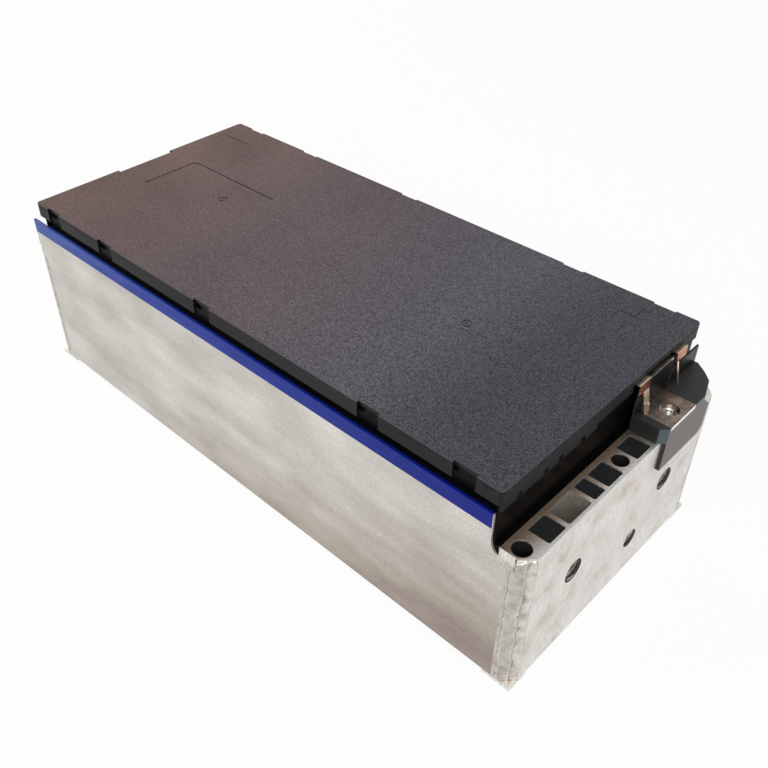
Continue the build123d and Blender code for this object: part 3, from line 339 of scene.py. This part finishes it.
def terminal_moulding():
    """Dark glass-filled nylon: nearly black on top; painted shade makes its upright faces facing X near
    black, a painted reflection makes its front greyer, and a painted cool sheen lies on the cut corner.
    """
    material, tree, shader, place = start_material("terminal_moulding")
    grain = add(tree, NOISE, grained(place, 0.8, 3.0))
    normal = add(tree, SPLIT, {0: add(tree, GEOMETRY, out="Normal")}, None)
    base = add(tree, RAMP, {0: grain}, stops=[(0.35, "242626"), (0.65, "2C2E2E")])
    front = add(tree, RAMP, {0: grain}, stops=[(0.35, "544F4C"), (0.65, "625B58")])
    forward = add(tree, MATH, {0: normal["X"]}, operation="ABSOLUTE")
    outward = add(tree, MATH, {0: add(tree, SPLIT, {0: place}, "X")}, operation="ABSOLUTE")
    past = add(tree, MATH, {0: outward, 1: END_HIGH.x}, operation="GREATER_THAN")
    upright = add(tree, RANGE, ranged(forward, 0.9, 0.98))
    # painted shade: upright faces facing X are made near black
    colour = add(tree, MIX, mixed(upright, base, linear("0B0C0C")), 2, **LAY)
    # painted reflection: the apron's upright front, past the end plate, gets the grey front tones
    apron_reflection_mask = add(tree, MATH, {0: upright, 1: past}, operation="MULTIPLY")
    colour = add(tree, MIX, mixed(apron_reflection_mask, colour, front), 2, **LAY)
    # painted sheen: the cut corner facing -Y and X is made a cool grey-green
    aside = add(tree, RANGE, ranged(normal["Y"], -0.6, -0.75))
    ahead = add(tree, RANGE, ranged(forward, 0.55, 0.65))
    corner = add(tree, MATH, {0: aside, 1: ahead}, operation="MULTIPLY")
    link(tree, add(tree, MIX, mixed(corner, colour, linear("4F5F62")), 2, **LAY), shader, "Base Color")
    link(tree, add(tree, BUMP, raised(grain, 0.15, 0.05)), shader, "Normal")
    shader.inputs["Roughness"].default_value = 0.4
    shader.inputs["Specular IOR Level"].default_value = 0.25
    return material


def blue_film():
    """Adhesive polyester film: saturated blue with scuff streaks, paler towards the -X end."""
    material, tree, shader, place = start_material("blue_film")
    ends = add(tree, RANGE, ranged(add(tree, SPLIT, {0: place}, "X"), -0.17, 0.16))
    scuff = add(tree, NOISE, grained(add(tree, MAPPING, drawn(place, (0.08, 1.0, 1.0))), 2.2, 4.0))
    level = add(tree, MATH, {0: scuff, 1: 0.45}, operation="SUBTRACT")
    level = add(tree, MATH, {0: level, 1: 0.8, 2: ends}, operation="MULTIPLY_ADD")
    tone = add(tree, RAMP, {0: level}, stops=[(0.0, "35509A"), (0.4, "17308C"), (1.0, "0A1B78")])
    link(tree, tone, shader, "Base Color")
    link(tree, add(tree, BUMP, raised(scuff, 0.12, 0.05)), shader, "Normal")
    shader.inputs["Roughness"].default_value = 0.35
    shader.inputs["Specular IOR Level"].default_value = 0.12
    return material


def rolled_metal(name, dark, light, roughness, facing_x_colour=None):
    """Cold-rolled strip or turned metal: two tones of tarnish, faint grain, and optionally one colour painted
    on faces facing X.
    """
    material, tree, shader, place = start_material(name)
    tarnish = add(tree, NOISE, grained(place, 4.0, 4.0))
    colour = add(tree, RAMP, {0: tarnish}, stops=[(0.38, dark), (0.62, light)])
    if facing_x_colour:
        forward = add(tree, SPLIT, {0: add(tree, GEOMETRY, out="Normal")}, "X")
        forward = add(tree, MATH, {0: forward}, operation="ABSOLUTE")
        edge = add(tree, RANGE, ranged(forward, 0.982, 0.995))
        colour = add(tree, MIX, mixed(edge, colour, linear(facing_x_colour)), 2, **LAY)
    link(tree, colour, shader, "Base Color")
    rolled = add(tree, NOISE, grained(add(tree, MAPPING, drawn(place, (1.0, 0.08, 1.0))), 0.4, 2.0))
    link(tree, add(tree, BUMP, raised(rolled, 0.1, 0.03)), shader, "Normal")
    shader.inputs["Metallic"].default_value = 1.0
    shader.inputs["Roughness"].default_value = roughness
    return material


FINISHES = {
    "mill": mill_aluminium(),
    "cast": cast_aluminium(),
    "weld": weld_metal(),
    "cover": grained_cover(),
    "film": blue_film(),
    "base": terminal_moulding(),
    # dark, light, roughness, grain in mm, relief, specular
    "navy": moulded_plastic("navy_sheet", "05070F", "090C1A", 0.4, 3.0, 0.1, 0.1),
    "insulator": moulded_plastic("black_insulator", "040405", "08080A", 0.36, 1.2, 0.1, 0.06),
    # painted shade: the plugs' flat near black stands in for the dark inside of the hollow pockets
    "plug": moulded_plastic("pocket_plug", "1E2122", "252829", 0.8, 2.0, 0.1, 0.1),
    "sleeve": moulded_plastic("shrink_sleeve", "040404", "080808", 0.3, 1.5, 0.1, 0.2),
    "connector": moulded_plastic("connector_moulding", "131313", "1C1C1C", 0.4, 0.8, 0.2),
    "can": moulded_plastic("cell_wrap", "12458C", "1B57A6", 0.3, 8.0, 0.1),
    "foam": moulded_plastic("compression_foam", "5A5A58", "777774", 0.9, 0.8, 0.6),
    "pad": moulded_plastic("thermal_pad", "6B6C70", "7E7F83", 0.8, 1.5, 0.3),
    "circuit": moulded_plastic("polyimide_circuit", "8A4F12", "A8681E", 0.3, 6.0, 0.1),
    "resin": moulded_plastic("sensor_resin", "101010", "1A1A1A", 0.35, 1.0, 0.1),
    # tarnished, bright, roughness, colour painted on faces facing X
    "bar": rolled_metal("bar_aluminium", "B9B8B4", "D5D4D0", 0.35),
    # painted highlight: the terminal's faces facing X are made near white
    "terminal": rolled_metal("terminal_metal", "6E615A", "9C8B80", 0.3, "F6ECE2"),
    # painted highlight: the bronze's two tones are near white, standing in for the bright highlight on the
    # clips' caps and covering their legs too; only its faces facing X keep the copper's orange
    "bronze": rolled_metal("spring_bronze", "F0D2BA", "F8E6D8", 0.25, "B4683E"),
    "zinc": rolled_metal("zinc_steel", "A9A9A6", "C9C9C6", 0.3),
    "thread": rolled_metal("cut_thread", "6E6A64", "ABA69F", 0.3),
}

NODE_FINISH = {
    "bottom_plate": "mill",
    "thermal_pad": "pad",
    "side_plate": "mill",
    "edge_film": "film",
    "side_sheet": "navy",
    "end_plate": "cast",
    "pocket_plugs": "plug",
    "corner_welds": "weld",
    "end_insulator": "insulator",
    "cell_pad": "foam",
    "cell_": "can",
    "carrier_tray": "insulator",
    "bus_bar": "bar",
    "output_bar": "terminal",
    "bar_sleeve": "sleeve",
    "sense_circuit": "circuit",
    "sense_connector": "connector",
    "temperature_sensors": "resin",
    "top_cover": "cover",
    "terminal_base": "base",
    "terminal_nut": "zinc",
    "base_screws": "zinc",
    "screw_caps": "base",
    "spring_clips": "bronze",
}


def dress_frame():
    """Gives every node of the frame the finish of the first name that it starts with."""
    for name, node in frame["nodes"].items():
        finish = next(value for start, value in NODE_FINISH.items() if name.startswith(start))
        for slot in node.material_slots:
            slot.material = FINISHES[finish]


# ---- mesh helpers --------------------------------------------------------------------------
def grid_faces(rows, columns):
    """Quads of a grid of points in row order, closed on itself across its columns."""
    r, c = np.meshgrid(np.arange(rows - 1), np.arange(columns), indexing="ij")
    next_c = (c + 1) % columns
    corners = [r * columns + c, r * columns + next_c, (r + 1) * columns + next_c, (r + 1) * columns + c]
    return np.stack(corners, axis=-1).reshape(-1, 4)


def tube_faces(rows, columns):
    """Faces of a closed tube of rings: its wall and its two ends."""
    faces = grid_faces(rows, columns).tolist()
    faces.append(list(range(columns))[::-1])
    faces.append(list(range((rows - 1) * columns, rows * columns)))
    return faces


def mirrored(points, faces, signs):
    """Points turned over by signs of X and Y, with faces turned round where that makes a mirror image."""
    if signs[0] * signs[1] < 0:
        faces = [face[::-1] for face in faces]
    return points * np.array([signs[0], signs[1], 1]), faces


def make_piece(name, points, faces, finish, smooth=True):
    """A mesh object from millimetre points and faces, with its finish."""
    mesh = bpy.data.meshes.new(name)
    mesh.from_pydata((np.asarray(points) * MM).tolist(), [], faces)
    mesh.materials.append(FINISHES[finish])
    if smooth:
        mesh.polygons.foreach_set("use_smooth", np.ones(len(mesh.polygons), dtype=bool))
    mesh.update()
    piece = bpy.data.objects.new(name, mesh)
    bpy.context.scene.collection.objects.link(piece)
    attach(piece, "root")
    return piece


def wander(length, count, seed):
    """A seeded random line of values from -1 to 1, smoothed by a cosine between its knots."""
    knots = np.random.default_rng(seed).uniform(-1, 1, count)
    place = np.linspace(0, count - 1.001, length)
    low = place.astype(int)
    part = (1 - np.cos((place - low) * math.pi)) / 2
    return (knots[low] * (1 - part) + knots[low + 1] * part)[:, None]


def bell(value, middle, width):
    """A Gaussian hump."""
    return np.exp(-(((value - middle) / width) ** 2))


# ---- welds ---------------------------------------------------------------------------------
def weld_bead(seed):
    """Points and faces of the +X, -Y bead.

    The path across the bead is a lap on the side plate, then the slope over the chamfered corner; t runs
    along it from 0 to 1, and z climbs. Height over the path = a low bulge on the slope, a raised toe line
    (a Gaussian) at each side of a central band and one near the outer border, ripples in the band (a sine
    of z less the square of t), pits near the top, and a rimmed crater at the foot. The lap narrows to
    nothing where the side plate ends, and the top is rounded off.
    """
    rows, columns = 260, 44
    x1, y0 = END_HIGH.x / MM, WELD_LOW.y / MM
    low, high = WELD_LOW.z / MM, END_HIGH.z / MM - 0.9
    z = np.linspace(low, high, rows)[:, None]
    t = np.linspace(0, 1, columns)[None, :]
    slope = CHAMFER * math.sqrt(2)
    lap = BEAD_LAP * np.clip((SHOULDER - z) / 2.0, 0, 1) ** 0.5
    run = t * (BEAD_LAP + slope)
    on_plate = run < BEAD_LAP
    along = np.clip(run / BEAD_LAP, 0, 1) * lap
    down = np.clip(run - BEAD_LAP, 0, slope) / slope
    sway = 0.03 * wander(rows, 14, seed)
    uneven = wander(rows, 40, seed + 1)
    first, second, third = TOES
    band = np.clip((t - first - sway) / (second - first), 0, 1)
    toes = bell(t, first + sway, 0.02) + bell(t, second + 0.8 * sway, 0.022) + 0.6 * bell(t, third, 0.024)
    bow = RIPPLE_PITCH * (2 * band - 1) ** 2
    ripple = np.sin(TURN * (z - bow) / RIPPLE_PITCH + 0.9 * uneven) * np.sin(math.pi * band)
    pits = bell(z, high - 21.0, 1.4) * bell(t, 0.58, 0.05) + bell(z, high - 7.0, 0.9) * bell(t, 0.62, 0.03)
    out = np.sqrt(((z - low - 4.5) / 3.6) ** 2 + ((t - 0.45) / 0.24) ** 2)
    crater = 0.16 * bell(out, 1.0, 0.14) - 0.3 * bell(out, 0.0, 0.7)
    cup = 0.18 * np.sin(math.pi * np.clip((t - 0.25) / 0.75, 0, 1)) * (1 + 0.2 * uneven)
    height = cup + TOE_HEIGHT * toes * (1 + 0.25 * uneven) + RIPPLE_HEIGHT * ripple - 0.4 * pits + crater
    border = np.clip(np.minimum(t, 1 - t) / 0.05, 0, 1)
    height = height * border - 1.2 * (1 - np.clip((high - z) / 2.2, 0, 1)) ** 2
    away = np.array([1, -1]) / math.sqrt(2)
    x = x1 - CHAMFER - lap + along + CHAMFER * down + away[0] * height * ~on_plate
    y = y0 + CHAMFER * down + away[1] * height
    lifted = BEAD_PROUD * (0.35 + 0.65 * np.clip(height / TOE_HEIGHT, -2, 1))
    y = np.where(on_plate, y0 + 0.05 - (lifted + 0.05) * border, y)
    x, y = np.minimum(x, x1 + 0.4), np.maximum(y, y0 - BEAD_PROUD)
    outer = np.stack([x, y, z + 0 * t], axis=-1)
    sunk = outer[:, ::-1].copy()
    sunk[..., 0] -= BEAD_DEPTH * ~on_plate[:, ::-1]
    sunk[..., 1] += BEAD_DEPTH
    return np.concatenate([outer, sunk], axis=1).reshape(-1, 3), tube_faces(rows, 2 * columns)


def weld_beads():
    """The four corner beads as one piece."""
    all_points, all_faces = [], []
    count = 0
    for index, signs in enumerate([(1, 1), (-1, 1), (1, -1), (-1, -1)]):
        points, faces = mirrored(*weld_bead(11 + 2 * index), signs)
        all_points.append(points)
        all_faces.extend([[corner + count for corner in face] for face in faces])
        count += len(points)
    piece = make_piece("weld_beads", np.concatenate(all_points), all_faces, "weld")
    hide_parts("corner_welds")


# ---- threads -------------------------------------------------------------------------------
def thread_ridge(radius, pitch, length, depth):
    """Points and faces of a helical ridge on the wall of a hole along X, ending at x = 0.

    The section is a triangle with its base on the wall and its crest inside; it runs along a helix of
    the pitch, and its depth fades over the first and last half turn.
    """
    turns = length / pitch
    steps = int(turns * 40)
    angle = np.linspace(0, turns * TURN, steps)[:, None]
    fade = np.clip(np.minimum(angle, turns * TURN - angle) / math.pi, 0.02, 1)
    offset = np.array([-0.44, 0.0, 0.44])[None, :] * pitch
    r = radius + 0.02 - np.array([0.0, depth, 0.0])[None, :] * fade
    x = -length + angle / TURN * pitch + offset
    points = np.stack([x, r * np.cos(angle), r * np.sin(angle)], axis=-1)
    return points.reshape(-1, 3), tube_faces(steps, 3)


def threads():
    """The ridges in the threaded holes of each end face, and in the nut under each terminal."""
    mouth = END_HIGH.x / MM - THREAD_START
    nut = MOUNTS["terminal_a"]
    nut_x, nut_y = nut["pos_m"][0] / MM, nut["pos_m"][1] / MM
    top = NUT_HIGH.z / MM - 0.8
    for end, sign in (("a", 1), ("b", -1)):
        for name, y, z, radius, pitch in hole_places():
            points, faces = thread_ridge(radius, pitch, THREAD_LENGTH, THREAD_DEPTH * pitch)
            points, faces = mirrored(points + np.array([mouth, y, z]), faces, (sign, 1))
            make_piece(f"thread_{name}_{end}", points, faces, "thread", smooth=False)
        points, faces = thread_ridge(nut["dims"]["r_mm"], NUT_PITCH, NUT_THREAD_LENGTH, NUT_THREAD_DEPTH)
        upright = np.roll(points, -1, axis=1) + np.array([nut_x, nut_y, top])
        upright, faces = mirrored(upright, faces, (sign, 1))
        make_piece(f"nut_thread_{end}", upright, faces, "zinc", smooth=False)


# ---- stage, lights and camera --------------------------------------------------------------
FLOOR_HALF = 4.0        # metres from the middle of the floor to its edge
FLOOR_GLOW = 0.9        # share of plain white in what the camera and shiny metal see of the floor
WORLD_GLOSS = 0.5       # share of plain white in what shiny metal sees of the world
VIEW_AZIMUTH, VIEW_ELEVATION, VIEW_ROLL = 44.52, 39.04, -0.57
VIEW_PLACE = (0.28471, -0.27621, 0.35114)
VIEW_LENS = 42.28


def floor():
    """A wide pale floor that the camera sees nearly white, with the object's shadow left on it."""
    size = FLOOR_HALF
    mesh = bpy.data.meshes.new("studio_floor")
    corners = [(-size, -size, 0), (size, -size, 0), (size, size, 0), (-size, size, 0)]
    mesh.from_pydata(corners, [], [(0, 1, 2, 3)])
    plane = bpy.data.objects.new("studio_floor", mesh)
    bpy.context.scene.collection.objects.link(plane)
    material = bpy.data.materials.new("studio_paper")
    material.use_nodes = True
    tree = material.node_tree
    shader = tree.nodes["Principled BSDF"]
    shader.inputs["Base Color"].default_value = linear("F4F4F4")
    shader.inputs["Roughness"].default_value = 0.9
    glow = add(tree, "ShaderNodeEmission", {"Color": (1, 1, 1, 1), "Strength": 1.0})
    rays = add(tree, "ShaderNodeLightPath", out=None)
    seen = add(tree, MATH, {0: rays["Is Camera Ray"], 1: rays["Is Glossy Ray"]}, operation="MAXIMUM")
    share = add(tree, MATH, {0: seen, 1: FLOOR_GLOW}, operation="MULTIPLY")
    mix = add(tree, "ShaderNodeMixShader", {0: share, 1: shader.outputs[0], 2: glow})
    tree.links.new(mix, tree.nodes["Material Output"].inputs["Surface"])
    mesh.materials.append(material)


def softbox(name, place, aim, width, height, power, colour):
    """A rectangular area lamp at a place, turned towards a point."""
    lamp = bpy.data.lights.new(name, "AREA")
    lamp.shape = "RECTANGLE"
    lamp.size = width
    lamp.size_y = height
    lamp.energy = power
    lamp.color = linear(colour)[:3]
    holder = bpy.data.objects.new(name, lamp)
    holder.location = place
    holder.rotation_euler = (Vector(aim) - Vector(place)).to_track_quat("-Z", "Y").to_euler()
    bpy.context.scene.collection.objects.link(holder)


def lights():
    """Three soft lamps and a plain world, which shiny metal sees brighter than it lights."""
    softbox("key", (1.1, -1.3, 1.5), (0, 0, 0.05), 1.4, 1.4, 26, "FFFDFA")
    softbox("fill", (-1.3, -1.2, 1.0), (0, 0, 0.05), 1.2, 1.2, 9, "FFF9F2")
    softbox("back", (-1.6, 0.9, 0.85), (-0.1, 0, 0.1), 1.0, 0.8, 8, "FFC9B0")
    world = bpy.data.worlds.new("studio")
    bpy.context.scene.world = world
    world.use_nodes = True
    tree = world.node_tree
    soft = tree.nodes["Background"]
    soft.inputs["Color"].default_value = (1, 1, 1, 1)
    soft.inputs["Strength"].default_value = 0.5
    white = add(tree, "ShaderNodeBackground", {"Color": (1, 1, 1, 1), "Strength": 1.0})
    rays = add(tree, "ShaderNodeLightPath", out=None)
    seen = add(tree, MATH, {0: rays["Is Camera Ray"], 1: rays["Is Transmission Ray"]}, operation="MAXIMUM")
    glossy = add(tree, MATH, {0: rays["Is Glossy Ray"], 1: WORLD_GLOSS}, operation="MULTIPLY")
    share = add(tree, MATH, {0: seen, 1: glossy}, operation="MAXIMUM")
    mix = add(tree, "ShaderNodeMixShader", {0: share, 1: soft.outputs[0], 2: white})
    tree.links.new(mix, tree.nodes["World Output"].inputs["Surface"])


def camera():
    """The camera at the viewing angle: azimuth and elevation of its axis, its roll, place and lens."""
    azimuth, elevation, roll = (math.radians(v) for v in (VIEW_AZIMUTH, VIEW_ELEVATION, VIEW_ROLL))
    level = math.cos(elevation)
    forward = Vector((-math.sin(azimuth) * level, math.cos(azimuth) * level, -math.sin(elevation)))
    right = forward.cross(Vector((0, 0, 1))).normalized()
    up = right.cross(forward)
    turned_right = math.cos(roll) * right + math.sin(roll) * up
    turned_up = -math.sin(roll) * right + math.cos(roll) * up
    data = bpy.data.cameras.new("view")
    data.sensor_width = 36.0
    data.lens = VIEW_LENS
    data.shift_x = 0.0357
    data.shift_y = -0.0037
    data.clip_start = 0.01
    holder = bpy.data.objects.new("view", data)
    place = Matrix((turned_right, turned_up, -forward)).transposed().to_4x4()
    place.translation = Vector(VIEW_PLACE)
    holder.matrix_world = place
    bpy.context.scene.collection.objects.link(holder)
    bpy.context.scene.camera = holder


# ---- the scene -----------------------------------------------------------------------------
dress_frame()
weld_beads()
threads()
floor()
lights()
camera()
bpy.context.scene.view_settings.view_transform = "Standard"
